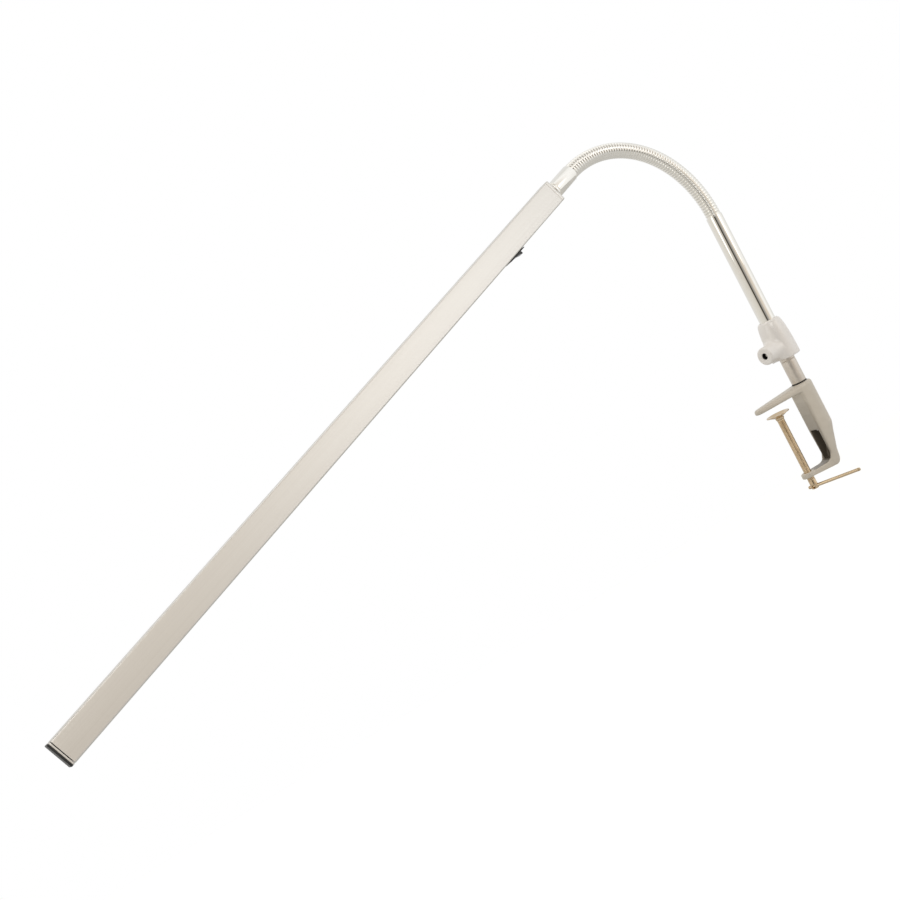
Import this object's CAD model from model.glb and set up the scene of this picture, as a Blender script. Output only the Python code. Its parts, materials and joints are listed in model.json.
"""Looks of the clamp-on bar lamp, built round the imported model.

The lamp is a slim light bar on a bendable gooseneck. A straight tube and a bell-shaped knuckle
carry the neck, and the knuckle's post swivels in a small C-clamp. Each class below is one
sub-assembly: it holds that sub-assembly's sizes in millimetres, makes its meshes as surfaces on
numpy grids, and dresses them in their finishes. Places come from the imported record's joints and
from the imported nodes, so every piece sits where its node does.
"""

from __future__ import annotations

import json
import logging
import math
from collections.abc import Callable, Sequence
from dataclasses import dataclass, field
from enum import Enum

import bmesh
import bpy
import numpy as np
from mathutils import Matrix, Vector
from mathutils.geometry import tessellate_polygon

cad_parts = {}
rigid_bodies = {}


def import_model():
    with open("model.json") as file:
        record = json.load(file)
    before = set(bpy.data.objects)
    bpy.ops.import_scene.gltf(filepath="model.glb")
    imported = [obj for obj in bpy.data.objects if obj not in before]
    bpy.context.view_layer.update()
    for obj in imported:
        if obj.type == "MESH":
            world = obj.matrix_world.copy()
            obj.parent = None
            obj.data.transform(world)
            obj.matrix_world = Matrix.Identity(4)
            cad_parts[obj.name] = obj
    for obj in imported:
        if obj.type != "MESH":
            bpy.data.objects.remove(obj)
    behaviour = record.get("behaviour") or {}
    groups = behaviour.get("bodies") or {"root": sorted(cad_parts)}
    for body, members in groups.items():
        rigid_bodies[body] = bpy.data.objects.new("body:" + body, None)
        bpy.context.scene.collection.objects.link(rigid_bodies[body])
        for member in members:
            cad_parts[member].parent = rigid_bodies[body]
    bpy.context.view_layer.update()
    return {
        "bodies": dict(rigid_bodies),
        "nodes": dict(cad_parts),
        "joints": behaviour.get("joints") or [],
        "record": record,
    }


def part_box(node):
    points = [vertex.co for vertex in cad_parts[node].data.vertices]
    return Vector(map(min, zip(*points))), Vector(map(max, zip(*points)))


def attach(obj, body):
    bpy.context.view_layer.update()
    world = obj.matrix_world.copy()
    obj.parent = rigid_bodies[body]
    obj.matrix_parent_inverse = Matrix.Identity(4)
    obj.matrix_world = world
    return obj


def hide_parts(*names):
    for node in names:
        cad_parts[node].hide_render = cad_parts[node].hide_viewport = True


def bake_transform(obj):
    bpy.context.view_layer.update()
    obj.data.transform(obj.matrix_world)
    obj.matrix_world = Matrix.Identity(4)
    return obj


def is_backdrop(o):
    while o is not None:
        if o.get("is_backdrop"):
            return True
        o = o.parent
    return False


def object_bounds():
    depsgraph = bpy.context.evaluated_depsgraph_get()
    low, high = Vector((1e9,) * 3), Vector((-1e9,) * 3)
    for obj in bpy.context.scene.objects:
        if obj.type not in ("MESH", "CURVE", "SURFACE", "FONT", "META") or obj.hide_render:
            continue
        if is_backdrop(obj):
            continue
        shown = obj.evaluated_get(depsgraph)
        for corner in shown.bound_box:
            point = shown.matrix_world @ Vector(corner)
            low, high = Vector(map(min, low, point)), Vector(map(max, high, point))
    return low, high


log = logging.getLogger("bar_lamp")

MM = 0.001
TAU = 2 * math.pi
WELD = 1e-7  # metres within which two vertices are one
CREASE = 40.0  # degrees past which an edge stays sharp
STRAIGHT = math.radians(89)  # half an angle past which a corner needs no fillet
LEAST_R = 0.05  # millimetres, the smallest radius of an inset corner
OVER = 1.0  # millimetres that a cutter stands past what it cuts
LAY = "lay"  # attribute with each vertex's place along its own piece, in millimetres
SHELTER = "shelter"  # attribute that says how far a vertex lies in a dull recess
Outline = Callable[[float], np.ndarray]
Colour = tuple[float, float, float]


# ---------------------------------------------------------------------------------------------
# Places
# ---------------------------------------------------------------------------------------------


def rise(value: np.ndarray, width: float) -> np.ndarray:
    """A ramp from 0 to 1 over a width, starting where the value is 0."""
    return np.clip(value / width, 0.0, 1.0)


def band(value: np.ndarray, middle: float, reach: float, width: float) -> np.ndarray:
    """A ramp from 0, at a reach on either side of a middle, to 1 a width further in."""
    return rise(reach - np.abs(value - middle), width)


def unit(v: Sequence[float]) -> np.ndarray:
    """A vector's direction, with length 1."""
    a = np.asarray(v, float)
    return a / np.linalg.norm(a)


def turned(a: np.ndarray, b: np.ndarray, angle: float) -> np.ndarray:
    """The direction a, turned towards the direction b by an angle in radians."""
    return math.cos(angle) * a + math.sin(angle) * b


@dataclass(frozen=True)
class Place:
    """Right-handed axes that stand somewhere on the lamp.

    Args:
        origin: where they stand, in metres.
        x: first unit direction.
        y: second unit direction.
        z: third unit direction.
    """

    origin: np.ndarray
    x: np.ndarray
    y: np.ndarray
    z: np.ndarray

    @property
    def axes(self) -> np.ndarray:
        """The three directions as rows."""
        return np.stack([self.x, self.y, self.z])

    def points(self, local: np.ndarray) -> np.ndarray:
        """Local millimetres as the lamp's metres: the origin plus a sum along the axes."""
        return self.origin + MM * (local @ self.axes)

    def local(self, points: np.ndarray) -> np.ndarray:
        """The lamp's metres as local millimetres."""
        return (points - self.origin) @ self.axes.T / MM

    def moved(self, x: float = 0.0, y: float = 0.0, z: float = 0.0) -> Place:
        """The same axes, moved by local millimetres."""
        return Place(self.points(np.array([x, y, z], float)), self.x, self.y, self.z)

    def along_x(self) -> Place:
        """Axes whose third direction is this place's first."""
        return Place(self.origin, self.y, self.z, self.x)

    def along_y(self) -> Place:
        """Axes whose third direction is this place's second."""
        return Place(self.origin, self.z, self.x, self.y)

    def span(self, node: bpy.types.Object) -> tuple[np.ndarray, np.ndarray]:
        """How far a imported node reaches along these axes.

        Args:
            node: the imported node's object.

        Returns:
            Its lowest and its highest local coordinates, in millimetres.
        """
        local = self.local(vertices_of(node.data))
        return local.min(0), local.max(0)


def vertices_of(mesh: bpy.types.Mesh) -> np.ndarray:
    """A mesh's vertices as an array of rows."""
    co = np.empty(len(mesh.vertices) * 3)
    mesh.vertices.foreach_get("co", co)
    return co.reshape(-1, 3)


@dataclass(frozen=True)
class Arc:
    """The gooseneck's centre line: an arc of a circle with a straight run-on at either end.

    Args:
        centre: the circle's centre, in metres.
        out: direction from the centre to the arc's lower end.
        up: direction in which the arc sets off there.
        radius: the circle's radius in millimetres.
        length: the arc's length in millimetres.
    """

    centre: np.ndarray
    out: np.ndarray
    up: np.ndarray
    radius: float
    length: float

    def tube(self, s: np.ndarray, r: np.ndarray, a: np.ndarray) -> np.ndarray:
        """Points round the centre line.

        A point stands at centre + R n + r (cos a n + sin a b) + e t, where n leads outwards at
        the angle s / R, t is the line's direction, b is across, and e is how far s lies past
        either end.

        Args:
            s: distances along the line in millimetres.
            r: distances from the line in millimetres.
            a: angles round the line, 0 on the outside of the bend.

        Returns:
            The points in metres, in the broadcast shape of the three.
        """
        on = np.clip(s, 0, self.length)
        turn = on / self.radius
        cos, sin = np.cos(turn)[..., None], np.sin(turn)[..., None]
        n = cos * self.out + sin * self.up
        t = cos * self.up - sin * self.out
        b = np.cross(self.up, self.out)
        r, a, past = r[..., None], a[..., None], (s - on)[..., None]
        return self.centre + MM * (
            self.radius * n + r * (np.cos(a) * n + np.sin(a) * b) + past * t)

    def point(self, s: float) -> np.ndarray:
        """The centre line's point at a distance along it, in metres."""
        zero = np.zeros(1)
        return self.tube(np.array([s], float), zero, zero)[0]

    def end(self) -> Place:
        """Axes at the line's far end, the third one leading onwards.

        Returns:
            The axes; the first one leads outwards from the bend.
        """
        turn = self.length / self.radius
        n = turned(self.out, self.up, turn)
        t = turned(self.up, -self.out, turn)
        return Place(self.point(self.length), n, np.cross(t, n), t)


@dataclass(frozen=True)
class Layout:
    """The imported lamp, and the axes that its joints give."""

    nodes: dict[str, bpy.types.Object]
    slots: dict[str, str]
    joints: dict[str, dict]
    clamp: Place
    post: Place
    tommy: Place
    arc: Arc
    bar: Place
    rocker: Place

    @classmethod
    def read(cls, frame: dict) -> Layout:
        """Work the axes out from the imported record.

        The post's axis is the swivel's. The bar sets off in the direction in which the neck
        ends, turned about itself until its side lies along the rocker's pivot.


        Returns:
            The layout.
        """
        nodes, record = frame["nodes"], frame["record"]
        slots = {row["node"]: row["material_slot"] for row in record["subparts"]}
        joints = {j["name"]: j for j in record["behaviour"]["joints"]}
        at = {n: np.array(j["pos_m"], float) for n, j in joints.items() if "pos_m" in j}
        up = np.array([0.0, 0.0, 1.0])
        ex, ey = np.array([1.0, 0.0, 0.0]), np.array([0.0, 1.0, 0.0])
        clamp = Place(np.zeros(3), ex, ey, up)
        side = -unit(joints["neck_bend"]["axis"])
        out = unit(np.cross(side, up))
        foot = at["arm_swivel"] * [1, 1, 0]
        post = Place(foot, out, side, up)

        bends = sorted((n for n in joints if n.startswith("neck_")), key=cls.rank)
        arc = cls.neck_line(post, np.array([at[n] for n in bends]))

        tip = arc.end()
        across = unit(joints["switch_press"]["axis"])
        head = Place(tip.origin, tip.z, across, np.cross(tip.z, across))
        low, high = head.span(nodes["inner_end_cap"])
        bar = head.moved(low[0], (low[1] + high[1]) / 2, (low[2] + high[2]) / 2)
        tilt = math.radians(sum(joints["switch_press"]["range_deg"]) / 2)
        rocker = Place(at["switch_press"], turned(bar.x, bar.z, tilt), bar.y,
                       turned(bar.z, -bar.x, tilt))

        lie = unit(joints["tommy_slide"]["axis"])
        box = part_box("tommy_bar")
        tommy = Place(np.array([0, 0, (box[0].z + box[1].z) / 2]), np.cross(up, lie), up, lie)
        return cls(nodes, slots, joints, clamp, post, tommy, arc, bar, rocker)

    @staticmethod
    def neck_line(post: Place, points: np.ndarray) -> Arc:
        """The arc through the neck's joints, a step longer at either end.

        Its centre is where the perpendicular bisectors of three joints meet.

        Args:
            post: axes below the neck, the first one leading outwards.
            points: the joints in metres, in order, at even steps.

        Returns:
            The arc.
        """
        flat = np.stack([(points - post.origin) @ post.x, (points - post.origin) @ post.z], 1)
        p, q, r = flat[0], flat[len(flat) // 2], flat[-1]
        mid = np.linalg.solve(2 * np.array([q - p, r - p]), [q @ q - p @ p, r @ r - p @ p])
        radius = np.linalg.norm(p - mid)
        rel = flat - mid
        turns = np.arctan2(rel[:, 1], rel[:, 0])
        step = (turns[-1] - turns[0]) / (len(turns) - 1)
        return Arc(post.origin + mid[0] * post.x + mid[1] * post.z, post.x, post.z, radius / MM,
                   step * (len(turns) + 1) * radius / MM)

    @property
    def neck_units(self) -> int:
        """How many stiff lengths the neck is made of: one more than its joints."""
        return 1 + sum(name.startswith("neck_") for name in self.joints)

    @staticmethod
    def rank(joint: str) -> int:
        """A neck joint's place along the neck, counted from the tube."""
        return {"neck_bend": 1, "neck_side": 2}.get(joint) or int(joint.rsplit("_", 1)[1])


# ---------------------------------------------------------------------------------------------
# Meshes
# ---------------------------------------------------------------------------------------------


def filleted(points: Sequence[tuple[float, float, float]], steps: int = 5) -> np.ndarray:
    """A closed outline whose corners are rounded.

    Each corner becomes an arc: its centre lies on the corner's bisector at r / sin(half the
    angle), and it runs between the two points where it touches the sides.

    Args:
        points: the corners as (u, v, radius), in order.
        steps: how many lengths an arc is made of.

    Returns:
        The outline's points as rows of (u, v).
    """
    pts = np.array([p[:2] for p in points], float)
    rows = []
    for i, (_, _, r) in enumerate(points):
        corner, before, after = pts[i], pts[i - 1], pts[(i + 1) % len(pts)]
        if r <= 0 or np.allclose(corner, before) or np.allclose(corner, after):
            rows.append(corner[None])
            continue
        a, b = unit(before - corner), unit(after - corner)
        half = math.acos(np.clip(a @ b, -1, 1)) / 2
        if half > STRAIGHT:
            rows.append(corner[None])
            continue
        centre = corner + unit(a + b) * r / math.sin(half)
        start, stop = corner + a * r / math.tan(half), corner + b * r / math.tan(half)
        u, v = (start - centre) / r, (stop - centre) / r
        w = math.acos(np.clip(u @ v, -1, 1))
        t = np.linspace(0, 1, steps + 1)[:, None]
        rows.append(centre + r * (np.sin((1 - t) * w) * u + np.sin(t * w) * v) / math.sin(w))
    return np.concatenate(rows)


def round_rect(width: float, height: float, radius: float, steps: int = 8) -> Outline:
    """A rounded rectangle that can be drawn smaller by an inset, and keeps its centre.

    Args:
        width: its size along the first direction, in millimetres.
        height: its size along the second one.
        radius: radius of its corners.
        steps: how many lengths a corner's arc is made of.

    Returns:
        The outline.
    """

    def outline(inset: float) -> np.ndarray:
        """The rectangle's points, drawn smaller by the inset on every side."""
        w, h = width / 2 - inset, height / 2 - inset
        r = max(radius - inset, LEAST_R)
        return filleted([(w, -h, r), (w, h, r), (-w, h, r), (-w, -h, r)], steps)

    return outline


def circle(radius: float, at: tuple[float, float] = (0.0, 0.0), sides: int = 48) -> Outline:
    """A circle about a point; its inset makes it wider, as a countersunk hole's rim.

    Args:
        radius: its radius in millimetres.
        at: its centre.
        sides: how many lengths it is made of.

    Returns:
        The outline, the points at + (radius + inset) (cos a, sin a).
    """

    def outline(inset: float) -> np.ndarray:
        """The circle's points, drawn wider by the inset."""
        a = np.linspace(0, TAU, sides, endpoint=False)
        return np.array(at) + (radius + inset) * np.stack([np.cos(a), np.sin(a)], 1)

    return outline


def fixed(loop: np.ndarray) -> Outline:
    """An outline that stays as it is, whatever its inset."""
    return lambda _: loop


def grid_quads(rows: int, cols: int, wrap_rows: bool, wrap_cols: bool) -> np.ndarray:
    """The four-sided faces between neighbouring points of a grid, as rows of indices.

    Args:
        rows: how many rows of points.
        cols: how many points in a row.
        wrap_rows: join the last row to the first.
        wrap_cols: join each row's last point to its first.

    Returns:
        Rows of four indices.
    """
    i = np.arange(rows if wrap_rows else rows - 1)[:, None]
    j = np.arange(cols if wrap_cols else cols - 1)[None, :]
    i1, j1 = (i + 1) % rows, (j + 1) % cols
    return np.stack([i * cols + j, i * cols + j1, i1 * cols + j1, i1 * cols + j],
                    -1).reshape(-1, 4)


def smoothed(mesh: bpy.types.Mesh) -> None:
    """Shade every face of a mesh smooth."""
    mesh.polygons.foreach_set("use_smooth", np.ones(len(mesh.polygons), bool))
    mesh.update()


def finished(mesh: bpy.types.Mesh, sharp: float = CREASE) -> None:
    """Merge a mesh's doubles, turn its faces outwards and keep its edges crisp.

    Args:
        mesh: the mesh.
        sharp: angle in degrees past which an edge stays sharp.
    """
    bm = bmesh.new()
    bm.from_mesh(mesh)
    bmesh.ops.remove_doubles(bm, verts=bm.verts, dist=WELD)
    bmesh.ops.recalc_face_normals(bm, faces=bm.faces)
    bm.to_mesh(mesh)
    bm.free()
    smoothed(mesh)
    mesh.set_sharp_from_angle(angle=math.radians(sharp))
    mesh.update()


def solid(name: str, points: np.ndarray, faces: Sequence[Sequence[int]],
          sharp: float = CREASE) -> bpy.types.Object:
    """An object at the origin whose mesh holds these points and faces, closed and outward.

    Args:
        name: the piece's name.
        points: rows of metres.
        faces: rows of indices.
        sharp: angle in degrees past which an edge stays sharp.

    Returns:
        The object.
    """
    mesh = bpy.data.meshes.new(name)
    mesh.from_pydata(points.tolist(), [], [list(f) for f in faces])
    finished(mesh, sharp)
    obj = bpy.data.objects.new(name, mesh)
    bpy.context.scene.collection.objects.link(obj)
    return obj


def lathe(name: str, loop: np.ndarray, place: Place, turns: int = 128) -> bpy.types.Object:
    """A turned piece: point(i, a) = r_i cos a x + r_i sin a y + h_i z.

    Args:
        name: the piece's name.
        loop: the closed outline as rows of (radius, height); points on the axis merge.
        place: axes, the third one being the axis of turning.
        turns: how many lengths the circle is made of.

    Returns:
        The object.
    """
    a = np.linspace(0, TAU, turns, endpoint=False)
    r, h = loop[:, :1], loop[:, 1:]
    local = np.stack([r * np.cos(a), r * np.sin(a), h + 0 * a], -1)
    return solid(name, place.points(local).reshape(-1, 3),
                 grid_quads(len(loop), turns, True, True))


def carried(name: str, outline: Outline, stations: Sequence[tuple[float, float]], place: Place,
            holes: Sequence[Outline] = ()) -> bpy.types.Object:
    """An outline carried straight along the place's first axis.

    point(i, j) = x_i x + u_j(inset_i) y + v_j(inset_i) z. The two ends are flat, with the holes
    left open.

    Args:
        name: the piece's name.
        outline: the outer outline for an inset.
        stations: (distance, inset) pairs, in order.
        place: axes of the piece.
        holes: outlines of holes that go right through.

    Returns:
        The object.
    """
    points, faces, ends, count = [], [], ([], []), 0
    for edge in (outline, *holes):
        rows = np.stack([
            np.column_stack([np.full(len(edge(inset)), x), edge(inset)]) for x, inset in stations])
        n = rows.shape[1]
        points.append(rows.reshape(-1, 3))
        faces.extend((grid_quads(len(stations), n, False, True) + count).tolist())
        for k, row in ((0, 0), (1, len(stations) - 1)):
            ends[k].append((rows[row], np.arange(n) + count + row * n))
        count += rows.shape[0] * n
    for loops in ends:
        index = np.concatenate([i for _, i in loops])
        flat = [[Vector((p[1], p[2], 0)) for p in ring] for ring, _ in loops]
        faces.extend([[int(index[k]) for k in tri] for tri in tessellate_polygon(flat)])
    return solid(name, place.points(np.concatenate(points)), faces)


def far_end(x: float, ease: float, steps: int = 4) -> list[tuple[float, float]]:
    """Stations that round a piece's end over, up to x, by an ease in millimetres.

    At the angle t a station stands at x - ease (1 - sin t), inset by ease (1 - cos t).
    """
    return [(x - ease * (1 - math.sin(t)), ease * (1 - math.cos(t)))
            for t in np.linspace(0, math.pi / 2, steps + 1)]


def near_end(x: float, ease: float) -> list[tuple[float, float]]:
    """Stations that round a piece's start over, from x onwards."""
    return [(2 * x - at, inset) for at, inset in reversed(far_end(x, ease))]


def bevelled(obj: bpy.types.Object, width: float, segments: int = 3) -> None:
    """Round a piece's sharp edges with a live Bevel modifier.

    Args:
        obj: the piece.
        width: width of the bevel in millimetres.
        segments: how many faces it is made of.
    """
    mod = obj.modifiers.new("edges", "BEVEL")
    mod.width, mod.segments = width * MM, segments
    mod.limit_method, mod.angle_limit = "ANGLE", math.radians(CREASE)
    mod.harden_normals = True


def baked(obj: bpy.types.Object) -> None:
    """Write a piece's modifiers into its mesh and take them off.

    Args:
        obj: the piece.
    """
    evaluated = obj.evaluated_get(bpy.context.evaluated_depsgraph_get())
    mesh = bpy.data.meshes.new_from_object(evaluated)
    mesh.name = obj.name
    obj.modifiers.clear()
    obj.data = mesh


def carved(obj: bpy.types.Object, cutters: Sequence[bpy.types.Object]) -> None:
    """Cut the cutters' shapes out of a piece, and throw the cutters away.

    Args:
        obj: the piece.
        cutters: closed shapes.
    """
    for cutter in cutters:
        mod = obj.modifiers.new("cut", "BOOLEAN")
        mod.operation, mod.solver, mod.object = "DIFFERENCE", "EXACT", cutter
    baked(obj)
    for cutter in cutters:
        bpy.data.objects.remove(cutter)
    finished(obj.data)


def normals_of(mesh: bpy.types.Mesh) -> np.ndarray:
    """A mesh's vertex normals, one in each row."""
    flat = np.empty(3 * len(mesh.vertices), np.float32)
    mesh.vertex_normals.foreach_get("vector", flat)
    return flat.reshape(-1, 3).astype(float)


def relaxed(mesh: bpy.types.Mesh, rounds: int, share: np.ndarray | float = 1.0) -> None:
    """Move each vertex half way to the mean of its neighbours, a few rounds over.

    Args:
        mesh: the mesh to change.
        rounds: how many rounds.
        share: how much of each step a vertex takes, from 0 to 1.
    """
    points = vertices_of(mesh)
    count = len(points)
    ends = np.empty(2 * len(mesh.edges), np.int32)
    mesh.edges.foreach_get("vertices", ends)
    a, b = ends[0::2], ends[1::2]
    near = np.bincount(ends, minlength=count)
    part = 0.5 * np.broadcast_to(share, count)
    for _ in range(rounds):
        for k in range(3):
            axis = points[:, k]
            total = np.bincount(a, axis[b], count) + np.bincount(b, axis[a], count)
            axis += part * (total / near - axis)
    mesh.vertices.foreach_set("co", points.astype(np.float32).ravel())
    mesh.update()


def softened(name: str, node: bpy.types.Object, voxel: float, rounds: int,
             *fused: bpy.types.Object) -> bpy.types.Object:
    """A casting with its edges and inside corners rounded as a mould leaves them.

    The node's surface is copied, merged, cut into even quads of one voxel, and relaxed.

    Args:
        name: the piece's name.
        node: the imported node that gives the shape.
        voxel: size of the quads in millimetres.
        rounds: how many rounds of relaxing.
        fused: closed pieces that become one with it; they are used up.

    Returns:
        The object.
    """
    mesh = node.data.copy()
    mesh.materials.clear()
    bm = bmesh.new()
    bm.from_mesh(mesh)
    for piece in fused:
        bm.from_mesh(piece.data)
        bpy.data.objects.remove(piece)
    bmesh.ops.remove_doubles(bm, verts=bm.verts, dist=WELD)
    bm.to_mesh(mesh)
    bm.free()
    obj = bpy.data.objects.new(name, mesh)
    bpy.context.scene.collection.objects.link(obj)
    remesh = obj.modifiers.new("even", "REMESH")
    remesh.mode, remesh.voxel_size, remesh.adaptivity = "VOXEL", voxel * MM, 0.0
    baked(obj)
    relaxed(obj.data, rounds)
    smoothed(obj.data)
    return obj


# ---------------------------------------------------------------------------------------------
# Finishes
# ---------------------------------------------------------------------------------------------


class Tree:
    """One material's node tree, with short calls for what the finishes use.

    A noise pattern's grey lies mostly between DIM and LIT, so tones and gloss spread over that.
    """

    DIM = 0.3
    LIT = 0.7

    def __init__(self, name: str) -> None:
        """Start a material with a Principled shader.

        Args:
            name: the material's name.
        """
        self.material = bpy.data.materials.new(name)
        self.material.use_nodes = True
        self.nodes = self.material.node_tree.nodes
        self.links = self.material.node_tree.links
        self.nodes.clear()
        self.shader = self.nodes.new("ShaderNodeBsdfPrincipled")
        out = self.nodes.new("ShaderNodeOutputMaterial")
        self.links.new(self.shader.outputs[0], out.inputs["Surface"])

    def set(self, **values: float | Colour) -> None:
        """Set constant values on the shader's own sockets; underscores stand for spaces."""
        for key, value in values.items():
            full = (*value, 1.0) if isinstance(value, tuple) else value
            self.shader.inputs[key.replace("_", " ")].default_value = full

    def mark(self, attribute: str, output: str) -> bpy.types.NodeSocket:
        """What one of the mesh's own attributes says."""
        node = self.nodes.new("ShaderNodeAttribute")
        node.attribute_name = attribute
        return node.outputs[output]

    def clouds(self, scale: float, detail: float = 2.0,
               rough: float = 0.55) -> bpy.types.NodeSocket:
        """Noise of one size in every direction, scale being its blotches in a metre."""
        vector = self.nodes.new("ShaderNodeTexCoord").outputs["Object"]
        return self.noise(vector, scale, detail, rough)

    def streaks(self, stretch: Colour, detail: float = 2.0,
                rough: float = 0.55) -> bpy.types.NodeSocket:
        """Noise drawn out along the piece's own directions.

        Args:
            stretch: blotches in a millimetre along each of the piece's directions.
            detail: how many finer layers it has.
            rough: how strong the finer layers are.

        Returns:
            The pattern's grey value.
        """
        mapping = self.nodes.new("ShaderNodeMapping")
        mapping.inputs["Scale"].default_value = stretch
        self.links.new(self.mark(LAY, "Vector"), mapping.inputs["Vector"])
        return self.noise(mapping.outputs[0], 1.0, detail, rough)

    def noise(self, vector: bpy.types.NodeSocket, scale: float, detail: float,
              rough: float) -> bpy.types.NodeSocket:
        """A noise pattern.

        Args:
            vector: where the pattern is read.
            scale: its blotches in one unit of that.
            detail: how many finer layers it has.
            rough: how strong the finer layers are.

        Returns:
            The grey value.
        """
        node = self.nodes.new("ShaderNodeTexNoise")
        node.inputs["Scale"].default_value = scale
        node.inputs["Detail"].default_value = detail
        node.inputs["Roughness"].default_value = rough
        self.links.new(vector, node.inputs["Vector"])
        return node.outputs["Fac"]

    def tone(self, grey: bpy.types.NodeSocket, dark: Colour, light: Colour,
             low: float = DIM, high: float = LIT) -> None:
        """Lead a grey value through a ramp of two colours to the base colour.

        Args:
            grey: the value.
            dark: colour at its low level.
            light: colour at its high level.
            low: the low level.
            high: the high level.
        """
        ramp = self.nodes.new("ShaderNodeValToRGB")
        ends = ramp.color_ramp.elements
        ends[0].position, ends[0].color = low, (*dark, 1.0)
        ends[1].position, ends[1].color = high, (*light, 1.0)
        self.links.new(grey, ramp.inputs["Fac"])
        self.links.new(ramp.outputs["Color"], self.shader.inputs["Base Color"])

    def shelter(self, colour: Colour) -> None:
        """Lay a darker colour over the base colour where the piece is marked as sheltered.

        Args:
            colour: the colour where the mark is full.
        """
        mix = self.nodes.new("ShaderNodeMix")
        mix.data_type = "RGBA"
        factor, open_colour, deep_colour = mix.inputs[0], mix.inputs[6], mix.inputs[7]
        base = self.shader.inputs["Base Color"]
        self.links.new(self.mark(SHELTER, "Fac"), factor)
        self.links.new(base.links[0].from_socket, open_colour)
        deep_colour.default_value = (*colour, 1.0)
        self.links.new(mix.outputs[2], base)

    def gloss(self, grey: bpy.types.NodeSocket, low: float, high: float) -> None:
        """Lead a grey value to the roughness, between two levels.

        Args:
            grey: the value.
            low: the roughness where it is dim.
            high: the roughness where it is lit.
        """
        level = self.nodes.new("ShaderNodeMapRange")
        level.inputs["From Min"].default_value = self.DIM
        level.inputs["From Max"].default_value = self.LIT
        level.inputs["To Min"].default_value = low
        level.inputs["To Max"].default_value = high
        self.links.new(grey, level.inputs["Value"])
        self.links.new(level.outputs["Result"], self.shader.inputs["Roughness"])

    def bump(self, *layers: tuple[bpy.types.NodeSocket, float, float]) -> None:
        """Lead height patterns to the normal, one over another.

        Args:
            layers: (grey value, strength, height in millimetres) for each.
        """
        last = None
        for grey, strength, height in layers:
            node = self.nodes.new("ShaderNodeBump")
            node.inputs["Strength"].default_value = strength
            node.inputs["Distance"].default_value = height * MM
            self.links.new(grey, node.inputs["Height"])
            if last is not None:
                self.links.new(last, node.inputs["Normal"])
            last = node.outputs["Normal"]
        self.links.new(last, self.shader.inputs["Normal"])


def mark_shelter(obj: bpy.types.Object, level: np.ndarray) -> None:
    """Mark how far each vertex lies in a recess where the finish stays dull, from 0 to 1."""
    attribute = obj.data.attributes.new(SHELTER, "FLOAT", "POINT")
    attribute.data.foreach_set("value", level.astype(np.float32))


def lay(obj: bpy.types.Object, place: Place) -> None:
    """Give each vertex its own place's millimetres, for patterns that follow the piece."""
    local = place.local(vertices_of(obj.data))
    attribute = obj.data.attributes.new(LAY, "FLOAT_VECTOR", "POINT")
    attribute.data.foreach_set("vector", local.astype(np.float32).ravel())


@dataclass(frozen=True)
class Finish:
    """What every finish has."""

    slot: str
    colour: Colour
    shade: Colour
    metallic: float = 0.0
    gloss: tuple[float, float] = (0.3, 0.4)
    kind: str = ""

    def material(self) -> bpy.types.Material:
        """The finish's material, made once.

        Returns:
            The material, named for the slot and the kind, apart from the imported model's own.
        """
        name = f"{self.slot}{self.kind}_finish"
        found = bpy.data.materials.get(name)
        if found:
            return found
        tree = Tree(name)
        tree.set(Metallic=self.metallic)
        self.pattern(tree)
        return tree.material

    def pattern(self, tree: Tree) -> None:
        """Draw the finish's patterns; each kind of finish has its own."""
        raise NotImplementedError


@dataclass(frozen=True)
class Plating(Finish):
    """Polished or satin plating: faint clouding and the fine lines that turning leaves."""

    lines: float = 0.12

    def pattern(self, tree: Tree) -> None:
        """Clouds for the tone and gloss, and fine rings along the piece's own length.

        Args:
            tree: the material's tree.
        """
        cloud = tree.clouds(220.0)
        tree.tone(cloud, self.shade, self.colour)
        tree.gloss(cloud, *self.gloss)
        ring = tree.streaks((0.02, 0.02, 9.0), rough=0.6)
        tree.bump((ring, self.lines, 0.004))


@dataclass(frozen=True)
class Coat(Finish):
    """A coat on a die casting: soft orange peel, with a faint drift of its tone."""

    peel: float = 0.25
    deep: Colour = (0.17, 0.145, 0.115)

    def pattern(self, tree: Tree) -> None:
        """Drifting tone, fine peel in the normal and slightly uneven gloss.

        Args:
            tree: the material's tree.
        """
        drift = tree.clouds(90.0, 3.0)
        fine = tree.clouds(2600.0)
        tree.tone(drift, self.shade, self.colour)
        tree.shelter(self.deep)
        tree.gloss(fine, *self.gloss)
        tree.bump((fine, self.peel, 0.012), (drift, 0.3, 0.05))


@dataclass(frozen=True)
class Brushed(Finish):
    """Anodised aluminium with the fine long lines of an extrusion that has been brushed."""

    lines: float = 0.35

    def pattern(self, tree: Tree) -> None:
        """Lines along the piece's first axis, in tone, gloss and normal.

        Args:
            tree: the material's tree.
        """
        line = tree.streaks((0.035, 14.0, 14.0), 4.0, 0.65)
        die = tree.streaks((0.004, 1.6, 1.6))
        tree.tone(die, self.shade, self.colour, 0.25, 0.75)
        tree.gloss(line, *self.gloss)
        tree.bump((line, self.lines, 0.005), (die, 0.1, 0.008))


@dataclass(frozen=True)
class Moulding(Finish):
    """Moulded plastic with the grain of a spark-eroded tool."""

    grain: float = 0.4
    through: float = 0.0

    def pattern(self, tree: Tree) -> None:
        """Fine grain in the normal and gloss, and a faint drift of tone.

        Args:
            tree: the material's tree.
        """
        grain = tree.clouds(3200.0, rough=0.6)
        drift = tree.clouds(120.0)
        tree.tone(drift, self.shade, self.colour)
        tree.gloss(grain, *self.gloss)
        tree.bump((grain, self.grain, 0.01))
        tree.set(Subsurface_Weight=self.through, Subsurface_Scale=0.003)


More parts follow.
